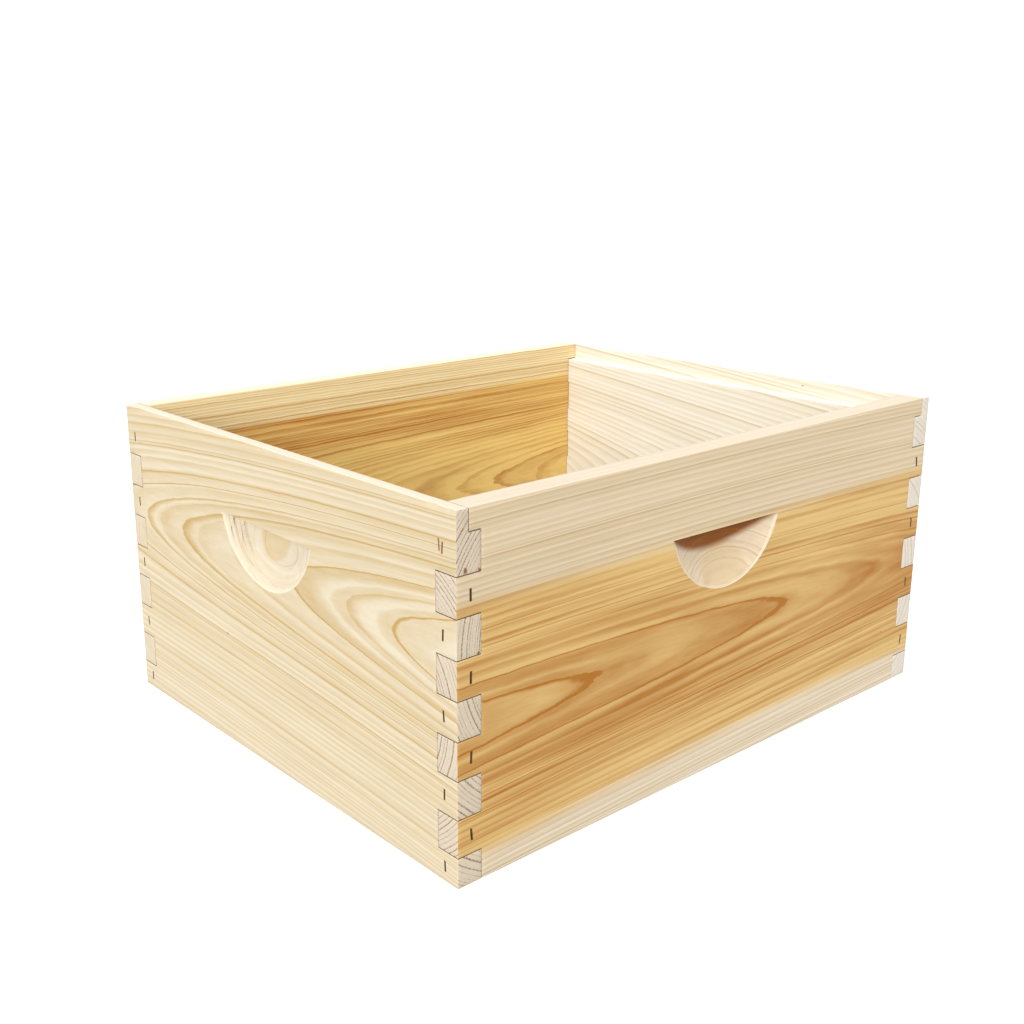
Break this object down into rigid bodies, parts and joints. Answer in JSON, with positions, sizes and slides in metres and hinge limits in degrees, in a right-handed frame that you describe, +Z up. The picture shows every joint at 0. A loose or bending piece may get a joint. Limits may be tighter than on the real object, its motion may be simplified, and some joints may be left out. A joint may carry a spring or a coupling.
{
  "type": "hive body",
  "caption": "Open wooden box that stacks as a beehive's brood chamber, with finger-jointed corners, frame rests inside its ends and a scooped hand hold in each face.",
  "frame": {"origin": "middle of the footprint at the bottom rim, so the box stands on Z = 0", "axes": "+X along the box's length towards the rear end board, +Y across its width towards the left side board, +Z up"},
  "size_m": [0.505, 0.413, 0.243],
  "materials": {
    "front_end_pine": "planed and unfinished, pale sapwood with a wide cathedral grain",
    "rear_end_pine": "planed and unfinished, pale sapwood with straight grain",
    "right_side_pine": "planed and unfinished, orange-brown heartwood between pale sapwood edges",
    "left_side_pine": "planed and unfinished, mostly orange-yellow heartwood",
    "staple_wire": "bright galvanised flat wire"
  },
  "bodies": {
    "root": {"front_end_board": "front_end_pine", "rear_end_board": "rear_end_pine", "right_side_board": "right_side_pine", "left_side_board": "left_side_pine", "staple_front_right_1": "staple_wire", "staple_front_right_2": "staple_wire", "staple_front_right_3": "staple_wire", "staple_front_right_4": "staple_wire", "staple_front_right_5": "staple_wire", "staple_front_right_6": "staple_wire", "staple_front_right_7": "staple_wire", "staple_front_right_8": "staple_wire", "staple_front_right_9": "staple_wire", "staple_front_left_1": "staple_wire", "staple_front_left_2": "staple_wire", "staple_front_left_3": "staple_wire", "staple_front_left_4": "staple_wire", "staple_front_left_5": "staple_wire", "staple_front_left_6": "staple_wire", "staple_front_left_7": "staple_wire", "staple_front_left_8": "staple_wire", "staple_front_left_9": "staple_wire", "staple_rear_right_1": "staple_wire", "staple_rear_right_2": "staple_wire", "staple_rear_right_3": "staple_wire", "staple_rear_right_4": "staple_wire", "staple_rear_right_5": "staple_wire", "staple_rear_right_6": "staple_wire", "staple_rear_right_7": "staple_wire", "staple_rear_right_8": "staple_wire", "staple_rear_right_9": "staple_wire", "staple_rear_left_1": "staple_wire", "staple_rear_left_2": "staple_wire", "staple_rear_left_3": "staple_wire", "staple_rear_left_4": "staple_wire", "staple_rear_left_5": "staple_wire", "staple_rear_left_6": "staple_wire", "staple_rear_left_7": "staple_wire", "staple_rear_left_8": "staple_wire", "staple_rear_left_9": "staple_wire"}
  },
  "joints": []
}
